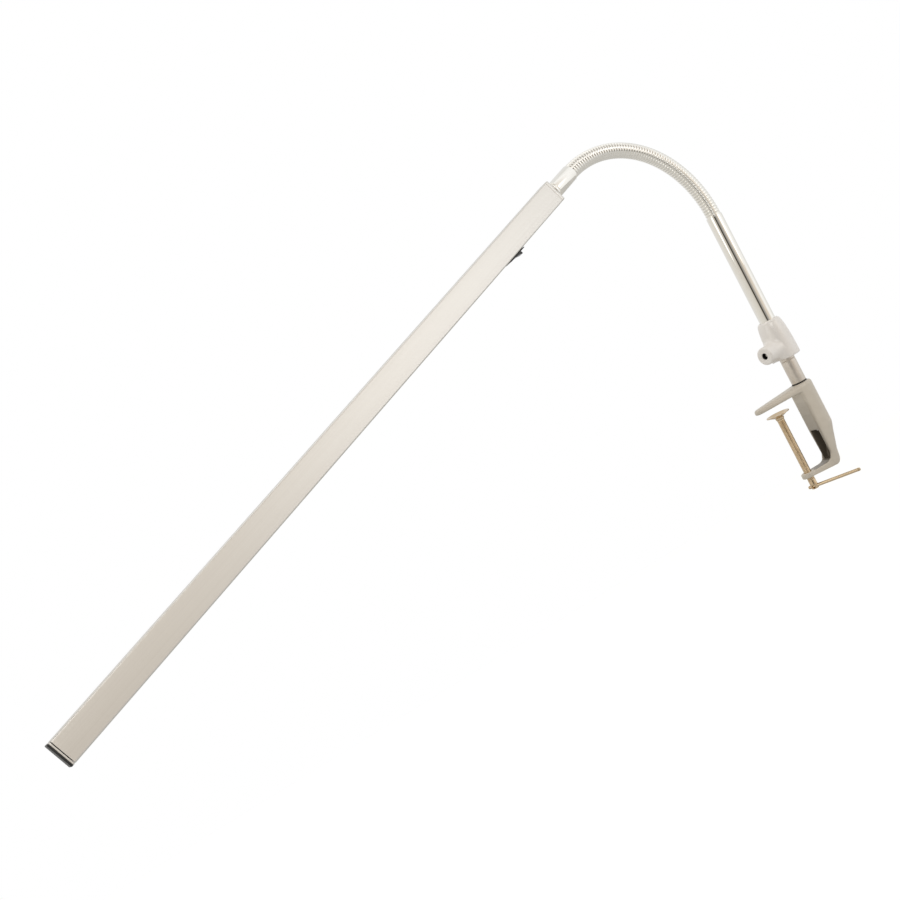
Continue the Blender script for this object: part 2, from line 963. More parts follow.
class Look(Enum):
    """The lamp's finishes, by the record's material slots."""

    CHROME = Plating("chrome", (0.97, 0.95, 0.91), (0.94, 0.92, 0.87), 1.0, (0.06, 0.1))
    TURNED = Plating("chrome", (0.77, 0.71, 0.64), (0.71, 0.65, 0.58), 1.0, (0.38, 0.44),
                     kind="_turned", lines=0.3)
    STEEL = Plating("steel", (0.62, 0.61, 0.58), (0.5, 0.49, 0.47), 1.0, (0.25, 0.36), lines=0.3)
    YELLOW = Plating("brass_plate", (0.76, 0.6, 0.41), (0.64, 0.5, 0.33), 1.0, (0.1, 0.17),
                     lines=0.15)
    ZINC = Coat("zinc_satin", (0.96, 0.93, 0.9), (0.94, 0.905, 0.87), 0.12, (0.25, 0.32),
                peel=0.2)
    CAST = Coat("cast_grey", (0.7, 0.645, 0.56), (0.65, 0.595, 0.51), 0.2, (0.34, 0.42),
                peel=0.2)
    ANODISED = Brushed("anodised", (0.775, 0.755, 0.72), (0.745, 0.723, 0.685), 0.85, (0.3, 0.38),
                       lines=0.1)
    NYLON = Moulding("nylon", (0.022, 0.021, 0.02), (0.014, 0.013, 0.012), 0.0, (0.45, 0.6))
    BLACK = Moulding("black_plastic", (0.02, 0.02, 0.02), (0.013, 0.013, 0.013), 0.0,
                     (0.38, 0.52))
    GLOSS = Moulding("black_gloss", (0.016, 0.016, 0.017), (0.011, 0.011, 0.012), 0.0,
                     (0.14, 0.22), grain=0.1)
    OPAL = Moulding("opal", (0.9, 0.885, 0.84), (0.87, 0.85, 0.8), 0.0, (0.22, 0.3), grain=0.1,
                    through=0.3)
    MASK = Moulding("board_white", (0.86, 0.86, 0.83), (0.8, 0.8, 0.77), 0.0, (0.4, 0.5),
                    grain=0.2)
    PHOSPHOR = Moulding("led_yellow", (0.86, 0.74, 0.24), (0.8, 0.66, 0.2), 0.0, (0.3, 0.45),
                        grain=0.2, through=0.2)
    GREEN = Moulding("board_green", (0.02, 0.13, 0.06), (0.014, 0.1, 0.045), 0.0, (0.25, 0.4),
                     grain=0.2)
    SHEATH = Moulding("lead_sheath", (0.025, 0.024, 0.023), (0.018, 0.017, 0.017), 0.0,
                      (0.4, 0.55), grain=0.3)


@dataclass
class Kit:
    """Hands each made piece to its body and its finish, and knows which nodes are replaced."""

    layout: Layout
    stood_for: set[str] = field(default_factory=set)

    def put(self, obj: bpy.types.Object, look: Look, place: Place, body: str | None,
            *nodes: str) -> None:
        """Dress a piece and set it on its body.

        Args:
            obj: the piece.
            look: its finish.
            place: axes that its pattern follows.
            body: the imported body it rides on; None where it is blended afterwards.
            nodes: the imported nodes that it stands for.
        """
        lay(obj, place)
        obj.data.materials.clear()
        obj.data.materials.append(look.value.material())
        if body:
            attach(obj, body)
        if nodes:
            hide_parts(*nodes)
            self.stood_for.update(nodes)
        log.info("%s: %d faces on %s", obj.name, len(obj.data.polygons), body or "a bend")

    def dress_nodes(self) -> None:
        """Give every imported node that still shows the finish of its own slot."""
        looks = {look.value.slot: look for look in Look if not look.value.kind}
        for name, slot_name in self.layout.slots.items():
            if name in self.stood_for:
                continue
            material = looks[slot_name].value.material()
            for slot in self.layout.nodes[name].material_slots:
                slot.link = "OBJECT"
                slot.material = material
            log.info("%s: kept as packed", name)


# ---------------------------------------------------------------------------------------------
# Sub-assemblies
# ---------------------------------------------------------------------------------------------


@dataclass
class ClampFrame:
    """The C-clamp's die casting, and the washer on which the post turns.

    Its sizes count x from the screw's axis towards the spine, y across and z up from the table
    line. The ramps are the lengths over which the extra softening and the dull skin fade in.
    """

    kit: Kit
    voxel: float = 0.37  # quads of the softened skin
    soft_rounds: int = 12
    jaw_rounds: int = 40  # further rounds for the upper jaw
    jaw_root: float = 21.9  # x at which the jaw's own softening ends
    jaw_root_ramp: float = 4.0
    jaw_low: float = -9.0  # z below which there is none
    jaw_low_ramp: float = 2.0
    spine_x: float = 22.9  # the spine's inner face
    spine_front: float = 4.0  # how far behind it the mouth's skin reaches
    pocket_lip: float = 0.3  # how far behind it the pocket's skin begins
    pocket_ramp: float = 0.8
    pocket_half: float = 6.5
    pocket_side_ramp: float = 0.4
    pocket_top: float = -20.0
    graze: float = 0.3  # x of a normal at which a face no longer counts as the pocket's
    facing: float = 0.5  # how squarely a face must look into the mouth
    facing_ramp: float = 0.4
    wall_top: float = -34.0
    wall_low: float = -62.4
    wall_half: float = 6.1
    wall_t: float = 4.4
    wall_skin: float = 0.5  # how far the wall stays under the spine's back
    wall_rows: int = 12
    wall_steps: int = 17
    back_x: float = 41.4  # the spine's back at the wall's top
    back_slope: float = 0.332
    back_r: float = 8.4
    mouth_x: float = 3.0
    mouth_top: float = 6.4  # depth at which the mouth's skin begins to dull
    mouth_ramp: float = 3.0
    mouth_fade: float = 50.0  # depth over which it gets duller
    mouth_dull: float = 0.1
    mouth_duller: float = 0.7
    pin_r: float = 4.86  # the washer's bore

    def build(self) -> None:
        """Make the frame and the washer."""
        self.casting()
        self.washer()

    def casting(self) -> None:
        """The frame, softened as a die casting is, and more so along its upper jaw."""
        layout = self.kit.layout
        obj = softened("clamp_casting", layout.nodes["clamp_frame"], self.voxel,
                       self.soft_rounds, self.back_wall())
        x, _, z = layout.clamp.local(vertices_of(obj.data)).T
        jaw = rise(self.jaw_root - x, self.jaw_root_ramp)
        relaxed(obj.data, self.jaw_rounds, jaw * rise(z - self.jaw_low, self.jaw_low_ramp))
        mark_shelter(obj, self.shelter(obj.data))
        self.kit.put(obj, Look.CAST, layout.clamp, "clamp", "clamp_frame")

    def back_wall(self) -> bpy.types.Object:
        """The wall behind the pocket, thick enough to reach the side walls everywhere.

        At the height z its outer face is x = back(z) - r + (r^2 - y^2)^0.5 - skin, where back(z)
        is the casting's back line, and its inner face is x = back(z) - wall.

        Returns:
            The wall, a closed piece that the casting is fused with.
        """
        z = np.linspace(self.wall_top, self.wall_low, self.wall_rows)[:, None]
        y = np.linspace(-self.wall_half, self.wall_half, self.wall_steps)[None, :]
        back = self.back_x + self.back_slope * (z - self.wall_top)
        outer = back - self.back_r + np.sqrt(self.back_r ** 2 - y ** 2) - self.wall_skin
        inner = back - self.wall_t
        loops = np.concatenate([
            np.stack([outer, y + 0 * z, z + 0 * y], -1),
            np.stack([inner + 0 * y, -y + 0 * z, z + 0 * y], -1)], 1)
        rows, count = loops.shape[:2]
        faces = [*grid_quads(rows, count, False, True), range(count),
                 range((rows - 1) * count, rows * count)]
        return solid("back_wall", self.kit.layout.clamp.points(loops).reshape(-1, 3), faces)

    def shelter(self, mesh: bpy.types.Mesh) -> np.ndarray:
        """How dull the casting's skin is: full in the pocket, partly inside the mouth.

        The pocket is what lies behind the spine's inner face, between its side walls, and
        doesn't look back. The mouth's faces look towards the screw, up, or between the two, and
        are duller the lower they lie.

        Args:
            mesh: the casting's mesh.

        Returns:
            A level from 0 to 1 for each vertex.
        """
        x, y, z = self.kit.layout.clamp.local(vertices_of(mesh)).T
        nx, _, nz = normals_of(mesh).T
        pocket = rise(x - self.spine_x - self.pocket_lip, self.pocket_ramp)
        pocket *= rise(self.graze - nx, self.graze)
        pocket *= band(y, 0, self.pocket_half, self.pocket_side_ramp)
        pocket *= (z < self.pocket_top) & (z > self.wall_low)
        look = np.maximum(np.maximum(-nx, nz), (nz - nx) * math.sqrt(0.5))
        depth = -z - self.mouth_top
        mouth = rise(look - self.facing, self.facing_ramp) * rise(depth, self.mouth_ramp)
        mouth *= rise(x - self.mouth_x, self.mouth_ramp) * (x < self.spine_x + self.spine_front)
        mouth *= self.mouth_dull + self.mouth_duller * rise(depth, self.mouth_fade)
        return np.maximum(pocket, mouth)

    def washer(self) -> None:
        """The thin black washer that the post turns on."""
        post = self.kit.layout.post
        low, high = post.span(self.kit.layout.nodes["swivel_washer"])
        r, t = high[0], high[2] - low[2]
        loop = filleted([(self.pin_r, low[2], 0.1), (r, low[2], 0.3 * t),
                         (r, high[2], 0.3 * t), (self.pin_r, high[2], 0.1)])
        self.kit.put(lathe("post_washer", loop, post), Look.NYLON, post, "clamp",
                     "swivel_washer")


@dataclass
class ClampScrew:
    """The clamp's screw, with the dished pad on its tip and the tommy bar through its foot."""

    kit: Kit
    pad_rim: float = 1.6
    pad_dish: float = 2.2
    pad_t: float = 1.0
    pad_boss_r: float = 3.7
    tip_r: float = 2.06
    tip_neck: float = 0.5  # how far the last turn is cut down, under the tip
    tip_head_r: float = 3.3
    tip_head_h: float = 1.0
    tip_break: float = 0.5
    screw_r: float = 3.175
    screw_sides: int = 64
    pitch: float = 1.27
    per_pitch: int = 12  # rows of points along one pitch
    thread_depth: float = 0.34
    flank: float = 3.2  # how steeply the thread falls from crest to root
    crest: float = 0.75  # how long it stays at the crest first
    thread_crease: float = 32.0
    plain_end: float = 7.6
    end_ease: float = 0.7
    hole_sides: int = 64
    tommy_r: float = 1.4
    tommy_head_r: float = 1.6
    tommy_head_l: float = 1.6
    tommy_dome: float = 0.5
    bore_clear: float = 0.06

    def build(self) -> None:
        """Make the pad, the screw and the tommy bar."""
        self.pad()
        self.screw()
        self.tommy_bar()

    def pad(self) -> None:
        """The dished pad: a cone of sheet with a flat rim and a short boss below."""
        clamp = self.kit.layout.clamp
        low, high = clamp.span(self.kit.layout.nodes["clamp_pad"])
        r, top, under = high[0], high[2], low[2]
        floor = top - self.pad_dish
        loop = filleted([
            (self.tip_r, floor, 0.15), (self.pad_boss_r, floor, 0.8),
            (r - self.pad_rim, top, 0.8), (r, top, 0.35), (r, top - 0.8 * self.pad_t, 0.35),
            (r - self.pad_rim, top - self.pad_t, 0.8),
            (self.pad_boss_r, floor - self.pad_t, 0.5), (self.pad_boss_r, under, 0.3),
            (self.tip_r, under, 0.2)])
        self.kit.put(lathe("screw_pad", loop, clamp), Look.YELLOW, clamp, "pad", "clamp_pad")

    def screw(self) -> None:
        """The screw in two pieces: its thread with the necked tip, and its plain end."""
        layout = self.kit.layout
        low, high = layout.clamp.span(layout.nodes["clamp_screw"])
        pad_low = layout.clamp.span(layout.nodes["clamp_pad"])[0][2]
        start = low[2] + self.plain_end
        self.thread(start, pad_low - self.bore_clear, high[2])
        self.drilled_end(low[2], start)

    def thread(self, z0: float, z1: float, head_z: float) -> None:
        """The helical thread, and the tip that is peened over inside the pad.

        The thread's surface is r(z, a) = R - depth * wave(z / pitch - a / turn), where the wave
        is a trapezium: flat crest, two flanks, narrow root. It fades out over a turn at either
        end.

        Args:
            z0: height at which the thread begins.
            z1: height of the shoulder that it ends in.
            head_z: height of the peened head's top.
        """
        turns = self.screw_sides
        rows = int((z1 - z0) / self.pitch * self.per_pitch) + 1
        z = np.linspace(z0, z1, rows)[:, None]
        a = np.linspace(0, TAU, turns, endpoint=False)[None, :]
        phase = (z / self.pitch - a / TAU) % 1.0
        wave = rise((0.5 - np.abs(phase - 0.5)) * self.flank - self.crest, 1.0)
        fade = rise(np.minimum(z - z0, z1 - z), self.pitch)
        r = self.screw_r - self.thread_depth * wave * fade
        r[-1, :] -= self.tip_neck
        skin = np.stack([r * np.cos(a), r * np.sin(a), z + 0 * a], -1)
        tip_r, head_r = self.tip_r - self.bore_clear, self.tip_head_r
        under, chamfer = head_z - self.tip_head_h, self.tip_break
        top = np.array([[tip_r, z1], [tip_r, under], [head_r, under], [head_r, head_z - chamfer],
                        [head_r - chamfer, head_z], [0.0, head_z]])
        cap = np.stack([top[:, :1] * np.cos(a), top[:, :1] * np.sin(a), top[:, 1:] + 0 * a], -1)
        foot = np.zeros((1, turns, 3))
        foot[..., 2] = z0
        grid = np.concatenate([foot, skin, cap])
        clamp = self.kit.layout.clamp
        piece = solid("screw_thread", clamp.points(grid).reshape(-1, 3),
                      grid_quads(len(grid), turns, False, True), self.thread_crease)
        self.kit.put(piece, Look.YELLOW, clamp, "screw", "clamp_screw")

    def drilled_end(self, bottom: float, top: float) -> None:
        """The plain end, with two holes that cross at the tommy bar.

        Args:
            bottom: height of the screw's foot.
            top: height at which the thread begins.
        """
        clamp, tommy = self.kit.layout.clamp, self.kit.layout.tommy
        loop = filleted([(0, bottom, 0), (self.screw_r, bottom, self.end_ease),
                         (self.screw_r, top, 0.2), (0, top, 0)])
        end = lathe("screw_end", loop, clamp)
        r, reach = self.tommy_r + self.bore_clear, 2 * self.screw_r
        drill = np.array([[0, -reach], [r, -reach], [r, reach], [0, reach]])
        cross = Place(tommy.origin, tommy.z, tommy.y, -tommy.x)
        carved(end, [lathe(f"hole_{i}", drill, way, self.hole_sides)
                     for i, way in enumerate((tommy, cross))])
        self.kit.put(end, Look.YELLOW, clamp, "screw")

    def tommy_bar(self) -> None:
        """The sliding bar: a plain rod between two upset ends."""
        tommy = self.kit.layout.tommy
        low, high = tommy.span(self.kit.layout.nodes["tommy_bar"])
        a, b = low[2], high[2]
        r, hr, hl = self.tommy_r, self.tommy_head_r, self.tommy_head_l
        face = hr - self.tommy_dome
        loop = filleted([
            (0, a, 0), (face, a, 0.3), (hr, a + hl, 0.25), (r, a + hl, 0.2),
            (r, b - hl, 0.2), (hr, b - hl, 0.25), (face, b, 0.3), (0, b, 0)])
        self.kit.put(lathe("tommy_rod", loop, tommy, 64), Look.YELLOW, tommy, "tommy",
                     "tommy_bar")


@dataclass
class Stem:
    """The post, the bell-shaped knuckle with its power inlet, and the straight tube.

    The boss and the bell melt into each other in a ring round the boss's axis. Its sizes with
    two values give the ring's width across that axis, and its length along it.
    """

    kit: Kit
    voxel: float = 0.3  # quads of the softened knuckle
    soft_rounds: int = 9
    melt_rounds: int = 200
    melt_r: float = 9.5  # the ring's own radius
    melt_out: float = 13.5  # how far out along the boss it stands
    melt_reach: tuple[float, float] = (4.0, 6.0)
    melt_ramp: tuple[float, float] = (3.0, 4.0)
    post_r: float = 6.35
    pin_r: float = 4.8
    seat_gap: float = 0.02  # between the post's shoulder and the washer
    groove_down: float = 2.4  # from the bell's rim to the groove
    groove_w: float = 0.9
    groove_in: float = 0.35
    screw_r: float = 2.45  # the bore for the retaining screw
    screw_l: float = 9.0
    tube_wall: float = 1.0

    def build(self) -> None:
        """Make the stem's pieces."""
        self.post()
        self.knuckle()
        self.tube()

    def post(self) -> None:
        """The turned post, with a fine groove under the bell and its pin in the clamp."""
        layout = self.kit.layout
        place = layout.post
        low, high = place.span(layout.nodes["post"])
        seat = place.span(layout.nodes["swivel_washer"])[1][2] + self.seat_gap
        groove = place.span(layout.nodes["knuckle_housing"])[0][2] - self.groove_down
        r, pin, w = self.post_r, self.pin_r, self.groove_w
        screw = low[2] + self.screw_l
        loop = filleted([
            (self.screw_r, low[2], 0.2), (pin, low[2], 0.4), (pin, seat, 0.1),
            (r, seat, 0.5), (r, groove - w / 2, 0.12), (r - self.groove_in, groove, 0.1),
            (r, groove + w / 2, 0.12), (r, high[2], 0.5), (0, high[2], 0), (0, screw, 0),
            (self.screw_r, screw, 0)])
        self.kit.put(lathe("turned_post", loop, place), Look.TURNED, place, "arm", "post")

    def knuckle(self) -> None:
        """The bell and its inlet boss, run into each other as a casting's are."""
        layout = self.kit.layout
        obj = softened("bell_knuckle", layout.nodes["knuckle_housing"], self.voxel,
                       self.soft_rounds)
        low, high = layout.post.span(layout.nodes["dc_jack"])
        centre = (low + high) / 2
        way = unit([centre[0], centre[1], 0])
        local = layout.post.local(vertices_of(obj.data)) - [0, 0, centre[2]]
        out = local @ way
        off = np.linalg.norm(local - out[:, None] * way, axis=1)
        share = (band(off, self.melt_r, self.melt_reach[0], self.melt_ramp[0])
                 * band(out, self.melt_out, self.melt_reach[1], self.melt_ramp[1]))
        relaxed(obj.data, self.melt_rounds, share)
        self.kit.put(obj, Look.ZINC, layout.post, "arm", "knuckle_housing")

    def tube(self) -> None:
        """The straight tube with broken edges."""
        layout = self.kit.layout
        place = layout.post
        low, high = place.span(layout.nodes["support_tube"])
        r = high[0]
        inner = r - self.tube_wall
        loop = filleted([(inner, low[2], 0.2), (r, low[2], 0.3), (r, high[2], 0.35),
                         (inner, high[2], 0.2)])
        self.kit.put(lathe("straight_tube", loop, place, 160), Look.CHROME, place, "arm",
                     "support_tube")


@dataclass
class Gooseneck:
    """The wound neck: one winding, in lengths that bend across each joint in turn."""

    kit: Kit
    crest_r: float = 6.4
    groove: float = 1.05
    squareness: float = 2.6  # 2 would make the wire's section an ellipse
    wire_crease: float = 55.0
    bore_r: float = 2.3
    bore_rows: int = 5
    per_unit: int = 4  # turns of wire in one stiff length
    samples: int = 11  # rows of points across one wire
    round_about: int = 64
    sleeve_r: float = 5.85
    sleeve_l: float = 12.0
    sleeve_t: float = 1.0
    sleeve_floor: float = 0.3

    def build(self) -> None:
        """Make the neck's lengths from the tube to the ferrule."""
        layout = self.kit.layout
        arc, units = layout.arc, layout.neck_units
        step = arc.length / units
        links = [f"{k:02d}" for k in range(1, units - 1)]
        nodes = ["neck_lower_end", *(f"neck_link_{link}" for link in links)]
        first = self.stretch("neck_00", 0, step / 2, sleeve=-1)
        self.kit.put(first, Look.CHROME, layout.post, "arm", nodes[0])
        for k in range(1, units):
            a, b = (k - 0.5) * step, (k + 0.5) * step
            obj = self.stretch(f"neck_{k:02d}", a, b)
            self.kit.put(obj, Look.CHROME, layout.post, None, *nodes[k:k + 1])
            arc.point(a)
            arc.point(b)
            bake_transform(obj)
        last = self.stretch(f"neck_{units:02d}", (units - 0.5) * step, units * step, sleeve=1)
        self.kit.put(last, Look.CHROME, layout.post, "head", "neck_upper_end")

    @property
    def pitch(self) -> float:
        """Width of one wire of the winding, in millimetres."""
        layout = self.kit.layout
        return layout.arc.length / (layout.neck_units * self.per_unit)

    def radius(self, s: np.ndarray, a: np.ndarray) -> np.ndarray:
        """The winding's radius: a round wire laid side by side along a helix.

        The place across one wire is u = frac(s / pitch - a / turn), and the radius is
        crest - groove * (1 - (1 - |2u - 1|^squareness)^0.5).

        Args:
            s: distance along the neck in millimetres.
            a: angle round it.

        Returns:
            The radius in millimetres.
        """
        u = (s / self.pitch - a / TAU) % 1.0
        hump = np.sqrt(1 - np.abs(2 * u - 1) ** self.squareness)
        return self.crest_r - self.groove * (1 - hump)

    def stretch(self, name: str, a: float, b: float, sleeve: int = 0) -> bpy.types.Object:
        """One length of the neck, closed by its two end rings and its bore.

        Args:
            name: the piece's name.
            a: where it starts along the neck, in millimetres.
            b: where it ends.
            sleeve: -1 adds the sleeve that goes down into the tube, 1 the one in the ferrule.

        Returns:
            The object.
        """
        count = int(round((b - a) / self.pitch * self.samples))
        angle = np.linspace(0, TAU, self.round_about, endpoint=False)[None, :]
        s = np.linspace(a, b, count + 1)[:, None]
        skin = [(s, self.radius(s, angle))]
        inner = [(np.linspace(b, a, self.bore_rows)[:, None], self.bore_r)]
        if sleeve:
            end = a if sleeve < 0 else b
            stop = end + sleeve * self.sleeve_l
            run = np.array([[end], [stop]])
            bore = np.array([[stop], [end - sleeve * self.sleeve_floor]])
            if sleeve < 0:
                skin.insert(0, (run[::-1], self.sleeve_r))
                inner.append((bore[::-1], self.sleeve_r - self.sleeve_t))
            else:
                skin.append((run, self.sleeve_r))
                inner.insert(0, (bore, self.sleeve_r - self.sleeve_t))
        rows = skin + inner
        grid_s = np.concatenate([ts + 0 * angle for ts, _ in rows])
        grid_r = np.concatenate([tr + 0 * (ts + angle) for ts, tr in rows])
        points = self.kit.layout.arc.tube(grid_s, grid_r, angle + 0 * grid_s)
        return solid(name, points.reshape(-1, 3),
                     grid_quads(len(grid_s), self.round_about, True, True),
                     self.wire_crease)


@dataclass
class Ferrule:
    """The smooth upper ferrule with its bead and the stub that enters the bar."""

    kit: Kit
    tube_r: float = 6.9
    neck_in: float = 0.5
    neck_h: float = 0.8
    bead_r: float = 7.2
    bead_h: float = 2.0
    stub_r: float = 4.0
    sleeve_bore_r: float = 5.9
    sleeve_bore_l: float = 13.0
    way_r: float = 2.2

    def build(self) -> None:
        """Make the ferrule in one turned piece."""
        layout = self.kit.layout
        place = layout.arc.end()
        stub_end = place.span(layout.nodes["upper_ferrule"])[1][2]
        face = place.span(layout.nodes["inner_end_cap"])[0][2]
        bead = face - self.bead_h
        shoulder, neck_r = bead - self.neck_h, self.tube_r - self.neck_in
        loop = filleted([
            (self.sleeve_bore_r, 0, 0.2), (self.tube_r, 0, 0.35), (self.tube_r, shoulder, 0.25),
            (neck_r, shoulder, 0.1), (neck_r, bead, 0.1), (self.bead_r, bead, 0.6),
            (self.bead_r, face, 0.6), (self.stub_r, face, 0), (self.stub_r, stub_end, 0.3),
            (self.way_r, stub_end, 0.2), (self.way_r, self.sleeve_bore_l, 0),
            (self.sleeve_bore_r, self.sleeve_bore_l, 0)])
        self.kit.put(lathe("ferrule", loop, place, 160), Look.CHROME, place, "head",
                     "upper_ferrule")


@dataclass
class LightBar:
    """The extruded bar with its caps, its diffuser and the strip beside the switch.

    The bar's own ends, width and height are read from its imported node.
    """

    kit: Kit
    wall: float = 1.2
    corner: float = 1.2
    lip: float = 1.2
    chamber: float = 6.5  # height of the light chamber
    web: float = 1.2
    slot_w: float = 9.6
    flange_t: float = 1.0
    clear: float = 0.1  # round the strips in their slot
    switch_lap: float = 0.7  # by which the switch's bezel overlaps its hole
    switch_side: float = 0.2
    switch_head: float = 0.5
    stub_r: float = 4.05  # the neck cap's hole for the ferrule's stub
    stub_clear: float = 0.3
    stub_way: float = 14.0
    port_head_r: float = 2.0  # holes for the two cap screws
    port_in: float = 1.5
    cap_ease: float = 0.45
    trim_ease: float = 0.2
    trim_side: float = 0.8  # the trim plate's frame, past the bar's wall
    trim_rim: float = 2.8
    plug_side: float = 0.94
    plug_rim: float = 3.1
    plug_in: float = 7.4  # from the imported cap's inner end to the plug's
    plug_lap: float = 0.2
    ends: tuple[float, float] = field(init=False)
    width: float = field(init=False)
    height: float = field(init=False)

    def __post_init__(self) -> None:
        """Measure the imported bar."""
        layout = self.kit.layout
        low, high = layout.bar.span(layout.nodes["head_profile"])
        self.ends = (low[0], high[0])
        self.width, self.height = high[1] - low[1], high[2] - low[2]

    def build(self) -> None:
        """Make the bar's pieces."""
        self.profile()
        self.strips()
        self.caps()

    def profile(self) -> None:
        """The extrusion: an outer skin, an open light chamber below and a closed one above."""
        place = self.kit.layout.bar
        w, h, c = self.width / 2, self.height / 2, self.corner
        inner, slot = w - self.wall, self.slot_w / 2
        lip, roof = -h + self.lip, -h + self.lip + self.chamber
        floor, top = roof + self.web, h - self.wall
        skin = filleted([
            (slot, -h, 0.15), (w, -h, c), (w, h, c), (-w, h, c), (-w, -h, c), (-slot, -h, 0.15),
            (-slot, lip, 0.1), (-inner, lip, 0.1), (-inner, roof, 0.3), (inner, roof, 0.3),
            (inner, lip, 0.1), (slot, lip, 0.1)], 8)
        upper = filleted([(inner, floor, 0.3), (inner, top, 0.3), (-inner, top, 0.3),
                          (-inner, floor, 0.3)], 3)
        bar = carried("bar_extrusion", fixed(skin), [(x, 0) for x in self.ends], place,
                      [fixed(upper)])
        start, stop = place.span(self.kit.layout.nodes["switch_body"])
        below = h + OVER
        cut = carried("cut_switch", round_rect(2 * (inner - self.switch_side),
                                               2 * (stop[2] + self.switch_head + below), 0.3, 3),
                      [(start[0] + self.switch_lap, 0), (stop[0] - self.switch_lap, 0)],
                      place.moved(z=-below))
        r, way = self.stub_r + self.stub_clear, self.stub_way
        bore = lathe("cut_stub", np.array([[0, -OVER], [r, -OVER], [r, way], [0, way]]),
                     place.moved(x=self.ends[0]).along_x(), 64)
        carved(bar, [cut, bore])
        self.kit.put(bar, Look.ANODISED, place, "head", "head_profile")

    def strips(self) -> None:
        """The opal diffuser and the plain strip beside the switch, each a T in the slot."""
        layout = self.kit.layout
        place = layout.bar
        h = self.height / 2
        face = self.slot_w / 2 - self.clear
        flange = self.width / 2 - self.wall - self.clear
        step = -h + self.lip + self.clear
        top = step + self.flange_t
        tee = filleted([(-face, -h, 0.35), (face, -h, 0.35), (face, step, 0),
                        (flange, step, 0.1), (flange, top, 0.1), (-flange, top, 0.1),
                        (-flange, step, 0.1), (-face, step, 0)], 4)
        for name, node, look in (("opal_diffuser", "diffuser", Look.OPAL),
                                 ("slot_strip", "slot_blank", Look.ANODISED)):
            low, high = place.span(layout.nodes[node])
            obj = carried(name, fixed(tee), [(low[0], 0), (high[0], 0)], place)
            self.kit.put(obj, look, place, "head", node)

    def caps(self) -> None:
        """The cap at the neck, the bright trim plate and the black cap at the far end."""
        layout = self.kit.layout
        place = layout.bar
        w, h = self.width, self.height
        skin = round_rect(w, h, self.corner)
        low, high = place.span(layout.nodes["inner_end_cap"])
        port = self.wall + self.port_in
        holes = [circle(self.stub_r)] + [
            circle(self.port_head_r, (s * (w / 2 - port), h / 2 - port), 32) for s in (-1, 1)]
        cap = carried("neck_cap", skin, near_end(low[0], self.cap_ease)
                      + far_end(high[0], self.cap_ease), place, holes)
        self.kit.put(cap, Look.ANODISED, place, "head", "inner_end_cap")

        low, high = place.span(layout.nodes["end_trim"])
        window = round_rect(w - 2 * (self.wall + self.trim_side), h - 2 * self.trim_rim, 0.2, 3)
        trim = carried("trim_plate", skin, near_end(low[0], self.trim_ease)
                       + far_end(high[0], self.trim_ease), place, [fixed(window(0))])
        self.kit.put(trim, Look.ANODISED, place, "head", "end_trim")

        face = high[0]
        low, high = place.span(layout.nodes["outer_end_cap"])
        cap = carried("black_cap", skin, [(face, 0), *far_end(high[0], self.cap_ease)], place)
        self.kit.put(cap, Look.BLACK, place, "head", "outer_end_cap")
        plug = carried("black_cap_plug",
                       round_rect(w - 2 * (self.wall + self.plug_side),
                                  h - 2 * self.plug_rim, 0.4, 3),
                       [(low[0] + self.plug_in, 0), (face + self.plug_lap, 0)], place)
        self.kit.put(plug, Look.BLACK, place, "head")


